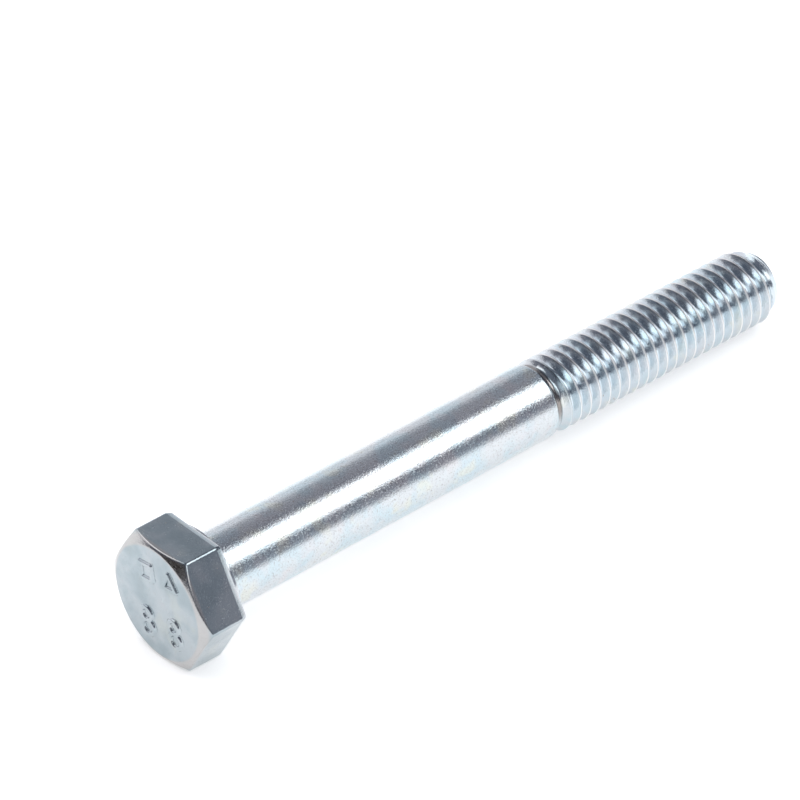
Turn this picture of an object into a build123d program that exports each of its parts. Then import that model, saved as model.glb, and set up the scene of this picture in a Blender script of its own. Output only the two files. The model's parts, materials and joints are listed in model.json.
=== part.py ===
from build123d import *
import os
from math import atan, cos, degrees, radians, sin, tan

# Hex bolt M5 x 45 with a plain shank, as ISO 4014 and DIN 931 give it. Millimetres.
# +X runs along the axis from the head to the tip, the origin is the centre of the
# face that clamps the work, and +Z is the outward normal of one flat of the head.

# head
across_flats = 7.85
head_height = 3.40
top_circle = 7.46
head_chamfer_angle = 30.0
corner_softening = 0.22
under_edge_radius = 0.18
washer_face_diameter = 7.15
washer_face_height = 0.30
washer_face_bevel = 0.08
under_head_radius = 0.25

# shank
shank_diameter = 4.90
nominal_length = 45.0
plain_length = 25.9
shoulder_length = 0.22
neck_diameter = 4.46
neck_end_diameter = 4.40
neck_end = 26.4

# thread M5 x 0.8, right-hand, with the 60 degree ISO profile
pitch = 0.80
major_diameter = 4.90
pitch_diameter = 4.41
root_diameter = 3.93
half_flank_angle = 30.0
full_groove_start = 27.03
crest_rise = 0.20

# tip
tip_chamfer_length = 1.10
tip_face_diameter = 3.80
tip_edge_radius = 0.10

# raised marks on top of the head: the strength class 8.8, and two plain outlines above it
mark_height = 0.12
mark_stroke = 0.34
mark_turn = 8.6
digit_row = -1.55
digit_middle = 0.13
digit_spacing = 2.46
upper_ring_radius = 0.60
lower_ring_radius = 0.66
outline_row = 1.98
outline_middle = 0.50
outline_spacing = 2.10
square_side = 1.35
triangle_radius = 0.95

# worked out from the sizes above
shank_radius = shank_diameter / 2
neck_radius = neck_diameter / 2
neck_end_radius = neck_end_diameter / 2
major_radius = major_diameter / 2
pitch_radius = pitch_diameter / 2
root_radius = root_diameter / 2
washer_face_radius = washer_face_diameter / 2
top_radius = top_circle / 2
tip_face_radius = tip_face_diameter / 2
flank_slope = tan(radians(half_flank_angle))
outside = 1.0


def groove_turn(start_x, start_radius, end_radius):
    """One turn of the thread's groove, as a solid that is cut from the blank.

    Its floor goes from start_radius to end_radius in the turn.
    """
    floor_half_width = pitch / 4 - (pitch_radius - root_radius) * flank_slope
    above_crest = 0.07
    groove_depth = major_radius + above_crest - root_radius
    mouth_half_width = floor_half_width + groove_depth * flank_slope
    taper = degrees(atan((end_radius - start_radius) / pitch))
    with BuildPart() as cutter:
        with BuildLine() as helix:
            Helix(
                pitch=pitch,
                height=pitch,
                radius=start_radius,
                center=(start_x, 0, 0),
                direction=(1, 0, 0),
                cone_angle=taper,
            )
        start = helix.line @ 0
        outward = Vector(0, start.Y, start.Z)
        with BuildSketch(Plane(origin=start, x_dir=outward, z_dir=helix.line % 0)):
            with BuildLine():
                Polyline(
                    (0, -floor_half_width),
                    (groove_depth, -mouth_half_width),
                    (groove_depth, mouth_half_width),
                    (0, floor_half_width),
                    close=True,
                )
            make_face()
        sweep(is_frenet=True)
    return cutter.part


# The groove's turns, from the run-out beside the neck to past the end of the tip.
run_out_start = full_groove_start - pitch
full_turns = round((nominal_length - full_groove_start) / pitch) + 1
groove_turns = [groove_turn(run_out_start, major_radius, root_radius)]
for turn_number in range(full_turns):
    turn_start = full_groove_start + turn_number * pitch
    groove_turns.append(groove_turn(turn_start, root_radius, root_radius))

# The bolt is one piece of cold-forged steel.
with BuildPart() as hex_bolt:
    # hexagonal head with softened corners and under edge
    with BuildSketch(Plane.YZ.offset(-head_height)):
        RegularPolygon(radius=across_flats / 2, side_count=6, major_radius=False)
        fillet(vertices(), radius=corner_softening)
    extrude(amount=head_height - washer_face_height)
    fillet(faces().sort_by(Axis.X)[-1].edges(), radius=under_edge_radius)

    # 30 degree chamfer round the top of the head
    with BuildSketch(Plane.XY):
        with BuildLine():
            Polyline(
                (-head_height, 0),
                (-head_height, top_radius),
                (-head_height + outside, top_radius + outside / tan(radians(head_chamfer_angle))),
                (0, top_radius + outside / tan(radians(head_chamfer_angle))),
                (0, 0),
                close=True,
            )
        make_face()
    revolve(axis=Axis.X, mode=Mode.INTERSECT)

    # washer face, under-head radius, plain shank, neck and thread blank, in one outline
    with BuildSketch(Plane.XY):
        with BuildLine():
            washer_side = Line(
                (-2 * washer_face_height, washer_face_radius),
                (-washer_face_bevel, washer_face_radius),
            )
            bevel = Line(washer_side @ 1, (0, washer_face_radius - washer_face_bevel))
            bearing = Line(bevel @ 1, (0, shank_radius + under_head_radius))
            under_head = RadiusArc(
                bearing @ 1, (under_head_radius, shank_radius), -under_head_radius
            )
            shank = Line(under_head @ 1, (plain_length, shank_radius))
            shoulder = Spline(
                shank @ 1,
                (plain_length + shoulder_length, neck_radius),
                tangents=[(1, 0), (1, 0)],
            )
            neck = Line(shoulder @ 1, (neck_end, neck_end_radius))
            rise = Line(neck @ 1, (neck_end + crest_rise, major_radius))
            crest = Line(rise @ 1, (nominal_length - tip_chamfer_length, major_radius))
            chamfer_end = (nominal_length, tip_face_radius)
            tip_chamfer = Line(crest @ 1, chamfer_end)
            Polyline(
                tip_chamfer @ 1,
                (nominal_length, 0),
                (-2 * washer_face_height, 0),
                washer_side @ 0,
            )
        make_face()
    revolve(axis=Axis.X)
    fillet(faces().sort_by(Axis.X)[-1].edges(), radius=tip_edge_radius)

    # rolled thread
    for turn_solid in groove_turns:
        add(turn_solid, mode=Mode.SUBTRACT)

    # raised marks, upright for a reader who faces the top of the head
    turn = radians(mark_turn)
    mark_plane = Plane(
        origin=(-head_height, 0, 0), x_dir=(0, -cos(turn), sin(turn)), z_dir=(-1, 0, 0)
    )
    ring_rise = (upper_ring_radius + lower_ring_radius - mark_stroke) / 2
    with BuildSketch(mark_plane):
        for side in (-0.5, 0.5):
            digit_x = digit_middle + side * digit_spacing
            with Locations((digit_x, digit_row - ring_rise)):
                Circle(radius=lower_ring_radius)
            with Locations((digit_x, digit_row + ring_rise)):
                Circle(radius=upper_ring_radius)
            with Locations((digit_x, digit_row - ring_rise)):
                Circle(radius=lower_ring_radius - mark_stroke, mode=Mode.SUBTRACT)
            with Locations((digit_x, digit_row + ring_rise)):
                Circle(radius=upper_ring_radius - mark_stroke, mode=Mode.SUBTRACT)
        with Locations((outline_middle - outline_spacing / 2, outline_row)):
            Rectangle(square_side, square_side)
            Rectangle(
                square_side - 2 * mark_stroke, square_side - 2 * mark_stroke, mode=Mode.SUBTRACT
            )
        with Locations((outline_middle + outline_spacing / 2, outline_row)):
            RegularPolygon(radius=triangle_radius, side_count=3, rotation=90)
            RegularPolygon(
                radius=triangle_radius - 2 * mark_stroke,
                side_count=3,
                rotation=90,
                mode=Mode.SUBTRACT,
            )
    extrude(amount=mark_height)

hex_bolt.part.label = "hex_bolt"
os.makedirs("parts", exist_ok=True)
export_step(hex_bolt.part, "parts/hex_bolt.step")
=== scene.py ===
# %% [markdown]
# # A zinc-plated hex bolt, modelled like a small machine part
#
# An M5 x 45 bolt is one piece of steel: a forged hexagonal head, a plain shank, and a thread
# rolled into the last 18 mm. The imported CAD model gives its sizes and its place. Here the same
# bolt is made again as a fine mesh, because its looks come from small things: the rounding of
# each edge, the rolled crests, the raised marks, and a bright plating that mirrors the studio.

# %% The fixed frame
import json
from math import atan2, cos, hypot, pi, radians, sin, sqrt, tan

import bmesh
import bpy
from mathutils import Matrix, Vector


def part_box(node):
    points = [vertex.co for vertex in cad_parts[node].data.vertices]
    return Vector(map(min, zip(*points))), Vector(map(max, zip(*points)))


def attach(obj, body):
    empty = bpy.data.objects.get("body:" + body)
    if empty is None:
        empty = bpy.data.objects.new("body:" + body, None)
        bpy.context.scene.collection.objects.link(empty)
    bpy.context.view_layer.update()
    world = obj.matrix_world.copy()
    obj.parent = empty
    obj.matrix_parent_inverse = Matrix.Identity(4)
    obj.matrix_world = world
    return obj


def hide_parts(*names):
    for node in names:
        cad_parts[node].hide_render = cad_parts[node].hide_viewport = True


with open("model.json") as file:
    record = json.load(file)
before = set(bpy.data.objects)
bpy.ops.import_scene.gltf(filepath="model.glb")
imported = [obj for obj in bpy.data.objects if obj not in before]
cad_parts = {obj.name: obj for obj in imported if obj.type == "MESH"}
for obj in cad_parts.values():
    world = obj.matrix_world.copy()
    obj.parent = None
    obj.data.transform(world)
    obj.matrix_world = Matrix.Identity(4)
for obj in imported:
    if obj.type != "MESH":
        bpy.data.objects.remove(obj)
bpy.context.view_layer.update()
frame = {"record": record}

mm = 0.001
node = "hex_bolt"
low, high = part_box(node)
mounts = {mount["name"]: mount for mount in frame["record"]["mounts"]}
print("CAD bolt from", [round(v / mm, 2) for v in low], "to", [round(v / mm, 2) for v in high], "mm")

# %% [markdown]
# ## The camera
#
# The camera looks down on the bolt from the head's side with a long lens, which keeps the far
# thread nearly as large as the near head. It could be placed by its own coordinates, but it is
# easier to adjust as on a tripod: by the point it aims at, the direction it looks in, its
# distance, and a very small roll.

# %% Camera
aim = Vector((17.67, 2.65, 2.73)) * mm
look_azimuth = radians(48.696)
look_down = radians(36.111)
camera_distance = 311.93 * mm
camera_roll = radians(-0.48)

forward = Vector(
    (cos(look_azimuth) * cos(look_down), sin(look_azimuth) * cos(look_down), -sin(look_down))
)
facing = forward.to_track_quat("-Z", "Y").to_matrix() @ Matrix.Rotation(camera_roll, 3, "Z")
camera_data = bpy.data.cameras.new("studio_camera")
camera_data.sensor_width = 36.0
camera_data.lens = 235.46
camera_data.clip_start = 0.01
camera = bpy.data.objects.new("studio_camera", camera_data)
bpy.context.scene.collection.objects.link(camera)
camera.matrix_world = Matrix.Translation(aim - camera_distance * forward) @ facing.to_4x4()
bpy.context.scene.camera = camera
print("camera at", [round(v / mm, 1) for v in camera.matrix_world.translation], "mm")

# %% [markdown]
# ## Sizes
#
# The flats, the top of the head and the shank come from the frame, so the mesh fits the CAD
# model by itself. The rest are the rules of the standard: the head's chamfer is 30 degrees, the
# thread's flanks are 60 degrees apart, and the pitch of M5 is 0.8 mm.

# %% Sizes read from the frame
half_across_flats = mounts["spanner_flat_upper"]["pos_m"][2]
top_x = mounts["head_top"]["pos_m"][0]
shank_radius = mounts["shank"]["dims"]["r_mm"] * mm
tip_x = high.x
mark_height = top_x - low.x
plain_end_x = 25.9 * mm
washer_height = 0.30 * mm
pitch = 0.80 * mm
print("across flats", round(2 * half_across_flats / mm, 3), "shank", round(2 * shank_radius / mm, 3))

# %% [markdown]
# ## Working in edit mode
#
# Blender's mesh operators act on what is selected in the active object. So each step first
# deselects everything, opens one piece, and selects by place. Points nearer to each other than
# the weld distance count as one.

# %% Helpers for edit mode
weld_distance = 0.0005 * mm


def only(piece):
    """Deselects everything but one object and makes it active."""
    bpy.ops.object.select_all(action="DESELECT")
    piece.select_set(True)
    bpy.context.view_layer.objects.active = piece


def edit(piece, what="VERT"):
    """Opens a piece in edit mode with nothing selected."""
    only(piece)
    bpy.ops.object.mode_set(mode="EDIT")
    bpy.ops.mesh.select_mode(type=what)
    bpy.ops.mesh.select_all(action="DESELECT")


def leave_edit():
    """Goes back to object mode, which writes the edits into the mesh."""
    bpy.ops.object.mode_set(mode="OBJECT")


def is_closed(piece):
    """True where each edge of the mesh has exactly two faces."""
    mesh = bmesh.new()
    mesh.from_mesh(piece.data)
    closed = all(edge.is_manifold for edge in mesh.edges)
    mesh.free()
    return closed


# %% [markdown]
# ## The head, from a turned outline
#
# A lathe gives everything on the head that is round: the flat top, the 30 degree chamfer and
# the washer face. So the outline of half the head is drawn once, with an arc at each corner,
# and spun round the axis. The hexagon is then pressed into that round blank: what stands
# outside a flat is moved in to it. The forging die does much the same, and it gives the curved
# edges between flats and chamfer with no boolean.

# %% Sizes of the head
flats = 6
half_sector = pi / flats
corner_radius = half_across_flats / cos(half_sector)
blank_radius = corner_radius + 0.4 * mm
top_circle = 3.73 * mm
chamfer_run = (blank_radius - top_circle) * tan(radians(30))
washer_radius = 3.575 * mm
seat_ring = 2.98 * mm
corner_rounding = 0.22 * mm
under_run, under_drop = 0.42 * mm, 0.20 * mm
under_bow = (0.06 * mm, 0.13 * mm)


# %% Helpers that draw and spin an outline
def rounded(points, radii, steps=5):
    """A chain of (x, radius) points, with an arc of its own radius at each inner corner."""
    chain = [Vector(points[0])]
    for before, corner, after, radius in zip(points, points[1:], points[2:], radii):
        corner = Vector(corner)
        back = (Vector(before) - corner).normalized()
        on = (Vector(after) - corner).normalized()
        half = back.angle(on) / 2
        reach = radius / tan(half)
        centre = corner + (back + on).normalized() * radius / sin(half)
        first = corner + back * reach - centre
        last = corner + on * reach - centre
        chain += [centre + radius * first.slerp(last, step / steps) for step in range(steps + 1)]
    chain.append(Vector(points[-1]))
    return chain


def with_rows(chain, spacing):
    """The chain with its straight runs cut into rows about as far apart as spacing."""
    dense = [chain[0]]
    for a, b in zip(chain, chain[1:]):
        count = max(1, round((b - a).length / spacing))
        dense += [a.lerp(b, n / count) for n in range(1, count + 1)]
    return dense


def chain_object(name, chain):
    """A new object whose mesh is a bare chain of edges through (x, radius) points."""
    mesh = bpy.data.meshes.new(name)
    places = [(x, radius, 0) for x, radius in chain]
    mesh.from_pydata(places, [(n, n + 1) for n in range(len(places) - 1)], [])
    piece = bpy.data.objects.new(name, mesh)
    bpy.context.scene.collection.objects.link(piece)
    return piece


def turned(name, chain, steps):
    """Spins a chain of (x, radius) points round the X axis into a new mesh object."""
    piece = chain_object(name, chain)
    edit(piece)
    bpy.ops.mesh.select_all(action="SELECT")
    bpy.ops.mesh.spin(steps=steps, angle=2 * pi, center=(0, 0, 0), axis=(1, 0, 0))
    bpy.ops.mesh.select_all(action="SELECT")
    bpy.ops.mesh.remove_doubles(threshold=weld_distance)
    bpy.ops.mesh.normals_make_consistent(inside=False)
    leave_edit()
    return piece


# %% The round blank of the head
head_steps = 228
centre_disc = 0.45 * mm
crown_spacing = 0.095 * mm
side_spacing = 0.5 * mm
head_outline = rounded(
    [
        (top_x, centre_disc),
        (top_x, top_circle),
        (top_x + chamfer_run, blank_radius),
        (-washer_height - under_run, blank_radius),
        (-washer_height - under_bow[0], blank_radius - under_bow[1]),
        (-washer_height, blank_radius - under_drop),
        (-washer_height, washer_radius),
        (0, washer_radius),
        (0, seat_ring),
    ],
    [0.30 * mm, 0.05 * mm, 0.25 * mm, 0.08 * mm, 0.03 * mm, 0.05 * mm, 0.07 * mm],
)
side_from = next(n for n, point in enumerate(head_outline) if point.x > top_x + chamfer_run)
crown = with_rows(head_outline[:side_from], crown_spacing)
side = with_rows(head_outline[side_from:], side_spacing)
head = turned("head", [Vector((top_x, 0))] + crown + side, head_steps)
print("head blank", len(head.data.vertices), "vertices")

# %% [markdown]
# The blank's columns of points are gathered towards the six corners, where the shape turns
# most. Above the middle of the head a point keeps the lesser of its own radius and the
# hexagon's, which leaves the chamfer as it was turned. Below it, the whole underside is drawn
# in by a share that grows from the washer face to the rim, so that no face folds over.


# %% Pressing the hexagon into the blank
def hexagon_radius(angle):
    """Distance from the axis to a hexagon with rounded corners, its flats facing up and down."""
    from_flat = abs((angle - pi / 2 + half_sector) % (2 * half_sector) - half_sector)
    inner_half = half_across_flats - corner_rounding
    centre = inner_half / cos(half_sector)
    if from_flat < atan2(inner_half * tan(half_sector), half_across_flats):
        return half_across_flats / cos(from_flat)
    off = half_sector - from_flat
    return centre * cos(off) + sqrt(corner_rounding**2 - (centre * sin(off)) ** 2)


def lesser(a, b, width):
    """The lesser of two sizes, with a soft turn where they are nearly equal."""
    near = max(width - abs(a - b), 0)
    return min(a, b) - near * near / (4 * width)


edge_softness = 0.07 * mm
gather = 0.62 / flats
on_axis = 0.1 * mm
middle_x = (top_x - washer_height) / 2
for vertex in head.data.vertices:
    x, y, z = vertex.co
    radius = hypot(y, z)
    if radius < on_axis:
        continue
    angle = atan2(z, y)
    angle -= gather * sin(flats * angle)
    if x < middle_x:
        radius = lesser(radius, hexagon_radius(angle), edge_softness)
    elif radius > washer_radius:
        share = min((radius - washer_radius) / (blank_radius - under_drop - washer_radius), 1)
        radius -= share * (blank_radius - hexagon_radius(angle))
    vertex.co = (x, radius * cos(angle), radius * sin(angle))
print("head pressed to", round(2 * max(v.co.z for v in head.data.vertices) / mm, 3), "mm across flats")

# %% [markdown]
# ## Raised marks
#
# Two figures 8 stand on the head for the strength class 8.8, and above them are a plain square
# and a plain triangle, which stand where a maker puts its letters. The die has them as
# grooves, so on the bolt they are soft ridges. Text objects would have sharp walls and need a
# boolean. So each mark is a centre line, given by a distance function. Only the faces near a
# line are subdivided, and then raised by their distance to it.

# %% Centre lines of the marks
mark_turn = radians(8.6)
mark_right = Vector((0, -cos(mark_turn), sin(mark_turn)))
mark_up = Vector((0, sin(mark_turn), cos(mark_turn)))
digit_spacing, digit_row, digit_middle = 2.46 * mm, -1.55 * mm, 0.13 * mm
shape_spacing, shape_row, shape_middle = 2.10 * mm, 1.98 * mm, 0.50 * mm
ring_radii = {-1: 0.49 * mm, 1: 0.43 * mm}
ring_lift = 0.46 * mm
square_half = 0.50 * mm
triangle_out = 0.66 * mm
triangle_drop = 0.1 * mm


def to_segment(point, a, b):
    """Distance from a point to the straight line between a and b."""
    along = b - a
    share = min(max((point - a).dot(along) / along.length_squared, 0), 1)
    return (point - a - along * share).length


def polygon(centre, radius, sides, turn):
    """The sides of a regular polygon, each as its two ends, the first corner at the turn."""
    corners = [
        centre + radius * Vector((cos(turn + 2 * pi * n / sides), sin(turn + 2 * pi * n / sides)))
        for n in range(sides)
    ]
    return list(zip(corners, corners[1:] + corners[:1]))


digits = [Vector((digit_middle + side * digit_spacing / 2, digit_row)) for side in (-1, 1)]
rings = [
    (centre + Vector((0, place * ring_lift)), radius)
    for centre in digits
    for place, radius in ring_radii.items()
]
square_centre = Vector((shape_middle - shape_spacing / 2, shape_row))
triangle_centre = Vector((shape_middle + shape_spacing / 2, shape_row - triangle_drop))
strokes = polygon(square_centre, square_half * sqrt(2), 4, pi / 4)
strokes += polygon(triangle_centre, triangle_out, 3, pi / 2)
print(len(rings), "rings and", len(strokes), "straight strokes")


# %% Subdividing and raising the marks
def to_mark(place):
    """Distance on the head's top from a place to the nearest centre line of a mark."""
    point = Vector((place.dot(mark_right), place.dot(mark_up)))
    to_rings = min(abs((point - centre).length - radius) for centre, radius in rings)
    return min([to_rings] + [to_segment(point, a, b) for a, b in strokes])


def on_flat_top(place):
    """True on the flat top of the head, inside the chamfer."""
    return abs(place.x - top_x) < 0.001 * mm and hypot(place.y, place.z) < top_circle


mark_foot = 0.20 * mm
mark_slope = 0.11 * mm
mark_margin = 0.06 * mm
edit(head, "FACE")
mesh = bmesh.from_edit_mesh(head.data)
for face in mesh.faces:
    centre = face.calc_center_median()
    face.select_set(on_flat_top(centre) and to_mark(centre) < mark_foot + mark_margin)
bmesh.update_edit_mesh(head.data)
bpy.ops.mesh.subdivide(number_cuts=2)
leave_edit()
for vertex in head.data.vertices:
    if on_flat_top(vertex.co):
        rise = min(max((mark_foot - to_mark(vertex.co)) / mark_slope, 0), 1)
        vertex.co.x -= mark_height * rise * rise * (3 - 2 * rise)
print("marks raised by", round((top_x - min(v.co.x for v in head.data.vertices)) / mm, 3), "mm")

# %% [markdown]
# ## Shank and neck
#
# The plain shank is drawn wire, so it is turned from its own outline, with the radius under
# the head at one end. At the other it drops by a rounded shoulder to the narrower wire that
# the thread is rolled from. It has as many columns as the thread, so that their rings match.

# %% Shank
shank_steps = 112
shank_spacing = 0.6 * mm
seat_inside = 2.80 * mm
neck_start = Vector((26.12 * mm, 2.22 * mm))
neck_end = Vector((26.24 * mm, 2.19 * mm))
shank_outline = rounded(
    [
        (0, seat_inside),
        (0, shank_radius),
        (plain_end_x, shank_radius),
        neck_start,
        neck_end,
    ],
    [0.25 * mm, 0.14 * mm, 0.05 * mm],
    steps=6,
)
shank = turned("shank", with_rows(shank_outline, shank_spacing), shank_steps)
print("shank", len(shank.data.vertices), "vertices")

# %% [markdown]
# ## The rolled thread
#
# A thread is one tooth profile that turns and climbs by one pitch a turn, which is what the
# Screw modifier makes. The profile runs from the bottom of one groove to the next. Rolling
# pushes the steel up from both sides of each crest, and where the two sides meet they leave a
# fine seam along it, so the crest here has two small ridges with a furrow between them.

# %% Profile of one pitch
root_radius = 1.965 * mm
root_rounding = 0.11 * mm
root_centre = root_radius + root_rounding
root_turns = (0, 20, 40, 60)
pitch_radius = 2.165 * mm
half_flank = radians(30)
flank_ends = (root_centre + 0.03 * mm, shank_radius - 0.06 * mm)
ridges_and_seam = [
    (-0.054, 0.022),
    (-0.038, 0.005),
    (-0.022, 0.0),
    (-0.004, 0.008),
    (0.008, 0.030),
    (0.018, 0.052),
    (0.029, 0.030),
    (0.042, 0.012),
    (0.056, 0.024),
]


def flank_x(radius):
    """Distance along the bolt from the middle of the crest to the flank at this radius."""
    return pitch / 4 + (pitch_radius - radius) * tan(half_flank)


half_tooth = [
    (
        pitch / 2 - root_rounding * sin(radians(turn)),
        root_centre - root_rounding * cos(radians(turn)),
    )
    for turn in root_turns
]
half_tooth += [(flank_x(radius), radius) for radius in flank_ends]
crest = [(x * mm, shank_radius - depth * mm) for x, depth in ridges_and_seam]
tooth = [(-x, radius) for x, radius in half_tooth] + crest + half_tooth[::-1]
print("tooth profile", len(tooth), "points")

# %% Screw
thread_start = 24.8 * mm
thread_turns = 27
crest_phase = 0.23 * mm
thread = chain_object("thread", [(thread_start + crest_phase + x, radius) for x, radius in tooth])
only(thread)
screw = thread.modifiers.new("screw", "SCREW")
screw.axis = "X"
screw.angle = 2 * pi
screw.screw_offset = pitch
screw.iterations = thread_turns
screw.steps = screw.render_steps = shank_steps
screw.use_merge_vertices = True
screw.merge_threshold = weld_distance
screw.use_smooth_shade = True
bpy.ops.object.modifier_apply(modifier="screw")
edit(thread)
bpy.ops.mesh.select_all(action="SELECT")
bpy.ops.mesh.remove_doubles(threshold=weld_distance)
leave_edit()
print("thread band", len(thread.data.vertices), "vertices")

# %% [markdown]
# The band is longer than the thread at both ends. Its groove is faded out towards the neck, as
# the dies leave it, and its crests are cut down by the chamfer of the tip. Where it has become
# plain and round it is cut square, so that it can be joined to its neighbours.

# %% Run-out and chamfer of the tip
run_out = (26.30 * mm, 26.75 * mm)
tip_radius = 1.90 * mm
tip_length = 1.10 * mm
chamfer_softness = 0.04 * mm


def eased(value, start, end):
    """Rises softly from 0 at start to 1 at end."""
    share = min(max((value - start) / (end - start), 0), 1)
    return share * share * (3 - 2 * share)


def tip_limit(x):
    """Radius of the chamfered end at a place along the bolt."""
    return tip_radius + (tip_x - x) * (shank_radius - tip_radius) / tip_length


for vertex in thread.data.vertices:
    x, y, z = vertex.co
    radius = hypot(y, z)
    wanted = neck_end.y + (radius - neck_end.y) * eased(x, *run_out)
    wanted = lesser(wanted, tip_limit(x), chamfer_softness)
    vertex.co = (x, y * wanted / radius, z * wanted / radius)


# %% Cutting the band square
def cut_square(piece, x, keep):
    """Cuts a piece by a plane across the bolt and keeps one side, 1 towards the tip or -1."""
    edit(piece)
    bpy.ops.mesh.select_all(action="SELECT")
    bpy.ops.mesh.bisect(
        plane_co=(x, 0, 0),
        plane_no=(1, 0, 0),
        clear_inner=keep > 0,
        clear_outer=keep < 0,
        threshold=0.00001 * mm,
    )
    leave_edit()


neck_cut = 26.27 * mm
tip_cut = 44.88 * mm
cut_square(thread, neck_cut, 1)
cut_square(thread, tip_cut, -1)
print("thread cut to", len(thread.data.vertices), "vertices")

# %% [markdown]
# The end of the tip is turned like the shank. Rolling leaves a shallow dent in the middle,
# because the dies pull the outside of the wire further than its core.

# %% End of the tip
tip_gap = 0.02 * mm
tip_spacing = 0.25 * mm
dent_radius, dent_depth = 0.36 * mm, 0.06 * mm
tip_outline = rounded(
    [
        (tip_cut + tip_gap, tip_limit(tip_cut + tip_gap)),
        (tip_x, tip_radius),
        (tip_x, dent_radius),
        (tip_x - 0.05 * mm, 0.14 * mm),
        (tip_x - dent_depth, 0.05 * mm),
    ],
    [0.08 * mm, 0.12 * mm, 0.1 * mm],
    steps=4,
)
tip_rows = with_rows(tip_outline, tip_spacing)
tip = turned("tip", tip_rows + [Vector((tip_x - dent_depth, 0))], shank_steps)
print("tip", len(tip.data.vertices), "vertices")

# %% [markdown]
# ## One closed skin
#
# The bolt is one piece of steel, so its four regions become one mesh. A boolean union could
# join them, but it leaves slivers along a thread. Here they are joined, and each pair of open
# rings that face each other is bridged, which gives one clean row of faces.

# %% Joining and bridging
only(head)
for part in (shank, thread, tip):
    part.select_set(True)
bpy.ops.object.join()
bolt = head
bolt.name = bolt.data.name = "forged_bolt"
ring_margin = 0.01 * mm


def bridge_between(piece, x_from, x_to):
    """Bridges the two open rings that stand at two places along the bolt."""
    edit(piece, "EDGE")
    mesh = bmesh.from_edit_mesh(piece.data)
    for edge in mesh.edges:
        places = [vertex.co.x for vertex in edge.verts]
        inside = x_from - ring_margin < min(places) and max(places) < x_to + ring_margin
        edge.select_set(edge.is_boundary and inside)
    bmesh.update_edit_mesh(piece.data)
    bpy.ops.mesh.bridge_edge_loops()
    leave_edit()


bridge_between(bolt, 0, 0)
bridge_between(bolt, neck_end.x, neck_cut)
bridge_between(bolt, tip_cut, tip_cut + tip_gap)
edit(bolt)
bpy.ops.mesh.select_all(action="SELECT")
bpy.ops.mesh.normals_make_consistent(inside=False)
leave_edit()
only(bolt)
bpy.ops.object.shade_smooth_by_angle(angle=radians(42))
triangles = sum(len(face.vertices) - 2 for face in bolt.data.polygons)
print("bolt closed", is_closed(bolt), "triangles", triangles)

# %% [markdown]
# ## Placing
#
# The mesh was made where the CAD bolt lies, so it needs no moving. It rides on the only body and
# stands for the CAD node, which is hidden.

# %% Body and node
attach(bolt, "root")
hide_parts(node)
print(bolt.name, "stands for", node)

# %% [markdown]
# ## Shader maths as expressions
#
# A material is a net of small nodes. Adding them one by one hides what they work out, so a
# socket is wrapped in a class that can be added, multiplied and mixed like a number. Each
# operator adds the node that does it.


# %% A socket with arithmetic
class Value:
    """A socket that can be used in Python arithmetic."""

    def __init__(self, tree, socket):
        self.tree, self.socket = tree, socket

    def node(self, kind, settings={}, inputs={}, output=0):
        """Makes any node, sets its options and inputs, and returns one of its outputs."""
        made = self.tree.nodes.new(kind)
        for name, setting in settings.items():
            setattr(made, name, setting)
        for name, value in inputs.items():
            if isinstance(value, Value):
                self.tree.links.new(value.socket, made.inputs[name])
            else:
                made.inputs[name].default_value = value
        return Value(self.tree, made.outputs[output])

    def math(self, operation, first, second=0.0, clamp=False):
        """A Math node on two numbers or values."""
        settings = {"operation": operation, "use_clamp": clamp}
        return self.node("ShaderNodeMath", settings, {0: first, 1: second})

    def __add__(self, other):
        return self.math("ADD", self, other)

    def __sub__(self, other):
        return self.math("SUBTRACT", self, other)

    def __rsub__(self, other):
        return self.math("SUBTRACT", other, self)

    def __mul__(self, other):
        return self.math("MULTIPLY", self, other)

    def __truediv__(self, other):
        return self.math("DIVIDE", self, other)

    def __pow__(self, other):
        return self.math("POWER", self, other)

    def __abs__(self):
        return self.math("ABSOLUTE", self)

    __radd__, __rmul__ = __add__, __mul__

    def clamped(self):
        """The value kept between 0 and 1."""
        return self.math("MAXIMUM", self, 0.0, clamp=True)

    def ramp(self, start, end):
        """Rises softly from 0 at start to 1 at end."""
        settings = {"interpolation_type": "SMOOTHSTEP"}
        inputs = {"Value": self, "From Min": start, "From Max": end}
        return self.node("ShaderNodeMapRange", settings, inputs)

    def noise(self, size, detail=2.0, roughness=0.5, distortion=0.0):
        """Noise on the coordinates, with features about as large as size in metres."""
        inputs = {
            "Vector": self,
            "Scale": 1 / size,
            "Detail": detail,
            "Roughness": roughness,
            "Distortion": distortion,
        }
        return self.node("ShaderNodeTexNoise", inputs=inputs)

    def mix(self, first, second):
        """Mixes two colours by this value."""
        inputs = {"Factor": self, 6: first, 7: second}
        return self.node("ShaderNodeMix", {"data_type": "RGBA"}, inputs, output=2)


# %% Starting a material
def new_material(name):
    """A new material, its surface shader, and the coordinates to build expressions from."""
    material = bpy.data.materials.new(name)
    material.use_nodes = True
    tree = material.node_tree
    shader = tree.nodes["Principled BSDF"]
    coordinates = Value(tree, tree.nodes.new("ShaderNodeTexCoord").outputs["Object"])
    return material, shader, coordinates


def feed(shader, socket, value):
    """Links an expression into the shader."""
    value.tree.links.new(value.socket, shader.inputs[socket])


# %% [markdown]
# ## Zinc plating
#
# Electroplated zinc is a thin bright metal coat. Its crystals are finer than a tenth of a
# millimetre and each leans a little its own way, so a reflection has a grainy edge. The
# passivation on top is only a fraction of a micrometre thick, and it tints the metal faintly
# blue, pink and straw in slow patches. Handling in bulk leaves fine scratches and a few brown
# specks. An image could show all this, but it would stretch on the thread, so it comes from
# noise on the bolt's own coordinates.

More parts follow.
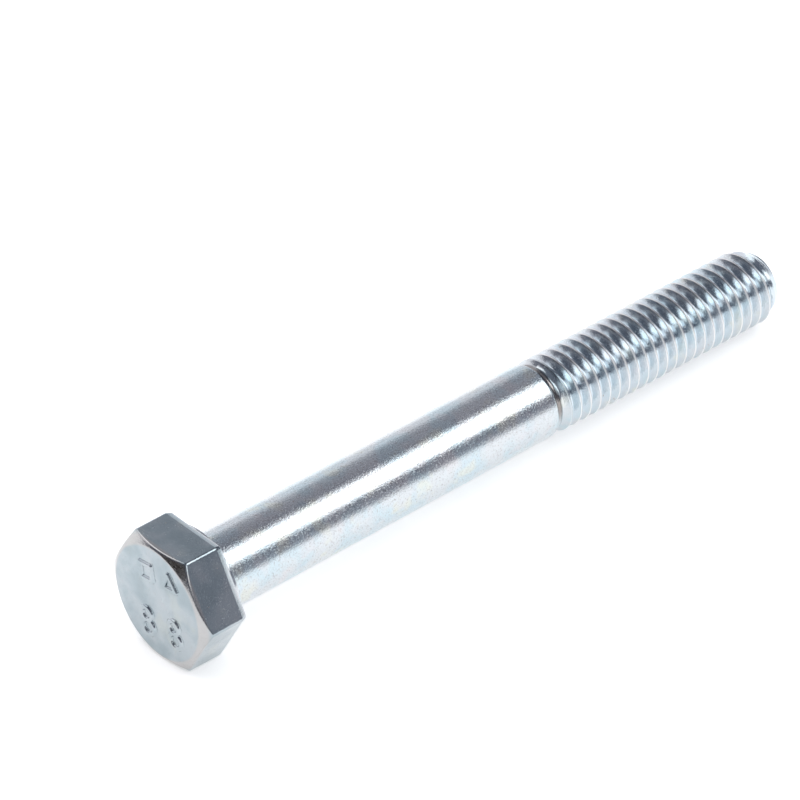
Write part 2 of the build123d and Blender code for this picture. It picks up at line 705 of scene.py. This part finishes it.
# %% Patterns in the plating
zinc, shader, place = new_material("zinc_plating")
shader.inputs["Metallic"].default_value = 1.0
along, out_y, out_z = [
    place.node("ShaderNodeSeparateXYZ", inputs={"Vector": place}, output=n) for n in range(3)
]
radius = (out_y * out_y + out_z * out_z) ** 0.5
on_shank = along.ramp(-0.2 * mm, 0.6 * mm) * (1 - along.ramp(25.8 * mm, 26.3 * mm))
crystals = place.noise(0.105 * mm, detail=3.0, roughness=0.7)
pits = crystals.ramp(0.44, 0.36) * (0.25 + on_shank * 0.75)
glints = crystals.ramp(0.585, 0.625) * (0.7 + on_shank * 0.3)
grain = crystals * (0.55 + on_shank * 0.45)
patches = place.noise(2.2 * mm, detail=3.0)
cloud = place.noise(0.7 * mm, detail=4.0, roughness=0.6)
elsewhere = place.node("ShaderNodeVectorMath", {"operation": "ADD"}, {0: place, 1: (0.03, 0.05, 0.02)})
blush = elsewhere.noise(1.6 * mm, detail=2.0)
specks = elsewhere.noise(0.42 * mm, detail=3.0, roughness=0.55).ramp(0.715, 0.76)

# %% [markdown]
# The plating isn't the same all over. It is thick and dull on the head, worn on the chamfer and blue
# in the grooves. The crests are painted lighter and rougher, a painted highlight for the bright lines
# they catch. The recess beside the shoulder is painted brown on its upper side, a painted shade. Each
# of these is a mask, made from the place along the bolt and the distance from its axis, and for the
# recess also from its height.

# %% Places on the bolt
on_head = along.ramp(-0.3 * mm, -0.6 * mm)
on_chamfer = along.ramp(-2.95 * mm, -3.15 * mm) * radius.ramp(3.6 * mm, 3.8 * mm)
# Painted highlight: the crests, to be painted lighter and rougher so they show as bright lines.
crest_painted_highlight = radius.ramp(2.40 * mm, 2.435 * mm) * along.ramp(26.9 * mm, 27.2 * mm)
in_groove = (2.42 * mm - radius) / (0.4 * mm) * along.ramp(26.9 * mm, 27.6 * mm)
in_groove = in_groove.clamped()
# Painted shade: the recess beside the shoulder, on its upper side only, to be painted dark brown.
recess_painted_shade = along.ramp(26.0 * mm, 26.1 * mm) * (1 - along.ramp(26.45 * mm, 26.6 * mm))
recess_painted_shade = recess_painted_shade * out_z.ramp(-0.9 * mm, 0.4 * mm)

# %% Colours of the plating
clear_zinc = (0.63, 0.665, 0.69, 1)
blue_film = (0.56, 0.655, 0.70, 1)
straw_film = (0.70, 0.71, 0.64, 1)
pink_film = (0.70, 0.64, 0.65, 1)
thick_film = (0.32, 0.38, 0.41, 1)
edge_film = (0.50, 0.475, 0.46, 1)
groove_zinc = (0.60, 0.68, 0.74, 1)
# Painted highlight colour for the crests.
crest_highlight_colour = (0.86, 0.86, 0.86, 1)
# Dark brown for the pits and for the painted shade in the recess.
pit_stain_and_painted_shade = (0.17, 0.13, 0.11, 1)
rust = (0.30, 0.19, 0.12, 1)

colour = patches.ramp(0.42, 0.62).mix(clear_zinc, blue_film)
colour = (blush.ramp(0.55, 0.70) * 0.6).mix(colour, straw_film)
colour = (blush.ramp(0.45, 0.30) * 0.3).mix(colour, pink_film)
colour = (on_head * (0.60 + patches.ramp(0.35, 0.65) * 0.35)).mix(colour, thick_film)
colour = (on_chamfer * 0.7).mix(colour, edge_film)
colour = (in_groove * 0.8).mix(colour, groove_zinc)
# Painted highlight on the crests.
colour = (crest_painted_highlight * 0.8).mix(colour, crest_highlight_colour)
# Painted shade in the recess beside the shoulder.
colour = (recess_painted_shade * 0.75).mix(colour, pit_stain_and_painted_shade)
colour = (specks * 0.7).mix(colour, rust)
colour = (pits * 0.45).mix(colour, pit_stain_and_painted_shade)
feed(shader, "Base Color", colour)

# %% Gloss and relief of the plating
# The painted crest highlight is also made rougher.
dullness = cloud * 0.08 + glints * 0.24 + specks * 0.25 + crest_painted_highlight * 0.22
feed(shader, "Roughness", 0.06 + dullness)

stretched = {"Vector": place, "Rotation": (0.3, 0.5, 0.9), "Scale": (1, 9, 9)}
lines = place.node("ShaderNodeMapping", inputs=stretched).noise(0.5 * mm, detail=1.0, distortion=0.4)
scratches = 1 - abs(lines - 0.5).ramp(0.0, 0.012)
relief = grain + cloud * 0.4 - scratches * 0.06
bump_inputs = {"Strength": 1.0, "Distance": 0.012 * mm, "Height": relief}
feed(shader, "Normal", place.node("ShaderNodeBump", inputs=bump_inputs))
bolt.data.materials.clear()
bolt.data.materials.append(zinc)
print("zinc plating has", len(zinc.node_tree.nodes), "nodes")

# %% [markdown]
# ## Floor
#
# The bolt lies on white paper over a light table, so the paper glows a little and the shadow
# stays soft. It touches the paper with the rim of its head and the end of its thread, so the
# paper is tilted by that small angle instead of moving the bolt.

# %% Paper
head_rim_x = -0.3 * mm
slope = (high.z - shank_radius) / (tip_x - tip_length - head_rim_x)
bpy.ops.mesh.primitive_plane_add(
    size=3.0, location=(head_rim_x, 0, low.z), rotation=(0, -atan2(slope, 1), 0)
)
floor = bpy.context.object
floor.name = "floor"
paper, shader, place = new_material("paper")
shader.inputs["Base Color"].default_value = (0.90, 0.90, 0.895, 1)
shader.inputs["Emission Color"].default_value = (1, 1, 1, 1)
shader.inputs["Emission Strength"].default_value = 0.40
feed(shader, "Roughness", 0.75 + place.noise(4 * mm) * 0.1)
floor.data.materials.append(paper)
print("paper tilted by", round(slope, 4))

# %% [markdown]
# ## Lights
#
# A bright metal has hardly any look of its own, it shows the room. So each light here is also
# something to mirror: one big softbox high on the right for the shank's highlight, two dim
# panels overhead for the top flat and the bands beside the highlight, a back wall for the far
# edge of the shank, broad lights on the left for the thread's flanks, one beside the camera for
# the edge under the head, and a faint one low on the right for the flat that faces it. Between
# them stays darkness. The paper gets its light from a lamp that the metal doesn't mirror.


# %% Area lights
def toward(azimuth, elevation):
    """Unit vector from the bolt towards a place in the studio, in degrees."""
    a, e = radians(azimuth), radians(elevation)
    return Vector((cos(a) * cos(e), sin(a) * cos(e), sin(e)))


def lamp(name, azimuth, elevation, distance, size, radiance, colour=(1, 1, 1), mirrored=True):
    """A soft rectangular light that faces the bolt."""
    data = bpy.data.lights.new(name, "AREA")
    data.shape = "RECTANGLE"
    data.size, data.size_y = size
    data.energy = radiance * pi * size[0] * size[1]
    data.color = colour
    light = bpy.data.objects.new(name, data)
    bpy.context.scene.collection.objects.link(light)
    direction = toward(azimuth, elevation)
    light.location = bolt_middle + direction * distance
    light.rotation_euler = direction.to_track_quat("Z", "Y").to_euler()
    light.visible_glossy = mirrored
    light.visible_camera = False


bolt_middle = Vector((18 * mm, 0, 0))
lamp("softbox", -35, 46, 0.5, (0.31, 0.26), 2.7)
lamp("dim_ceiling", 22, 48, 0.6, (0.30, 0.28), 0.20, (1.0, 0.95, 0.97))
lamp("grey_ceiling", 54, 42, 0.6, (0.16, 0.20), 0.31, (0.97, 0.98, 1.0))
lamp("back_wall", 50, 15, 0.6, (0.32, 0.30), 0.72, (0.96, 0.98, 1.0))
lamp("left_wall", 98, 22, 0.6, (0.74, 0.50), 0.90, (1.0, 0.97, 0.98))
lamp("camera_side", -104, 36, 0.7, (0.80, 0.34), 1.6)
lamp("far_left", 120, 52, 0.6, (0.54, 0.24), 1.3)
lamp("right_wall", -57, 11, 0.5, (0.26, 0.17), 0.20, (0.97, 0.95, 1.0))
lamp("floor_light", 60, 80, 0.9, (1.4, 1.4), 0.95, mirrored=False)
print(len(bpy.data.lights), "lights")

# %% [markdown]
# ## Black flag
#
# A small black cloth stands low in front of the head, as in a real studio. Only the near
# corner of the chamfer mirrors it, and that dark triangle shows how the corner turns.

# %% Cloth and its place
direction = toward(164, 9)
bpy.ops.mesh.primitive_plane_add(size=1.0, location=bolt_middle + direction * 0.3)
flag = bpy.context.object
flag.name = "flag"
flag.scale = (0.16, 0.075, 1)
flag.rotation_euler = direction.to_track_quat("Z", "Y").to_euler()
flag.visible_camera = flag.visible_diffuse = flag.visible_shadow = False
cloth, shader, place = new_material("black_cloth")
shader.inputs["Base Color"].default_value = (0.03, 0.022, 0.018, 1)
feed(shader, "Roughness", 0.9 + place.noise(2 * mm) * 0.1)
flag.data.materials.append(cloth)

# %% Room
world = bpy.data.worlds.new("studio")
world.use_nodes = True
background = world.node_tree.nodes["Background"]
background.inputs["Color"].default_value = (0.17, 0.177, 0.215, 1)
bpy.context.scene.world = world
bpy.context.scene.view_settings.view_transform = "Standard"
print("studio lit")
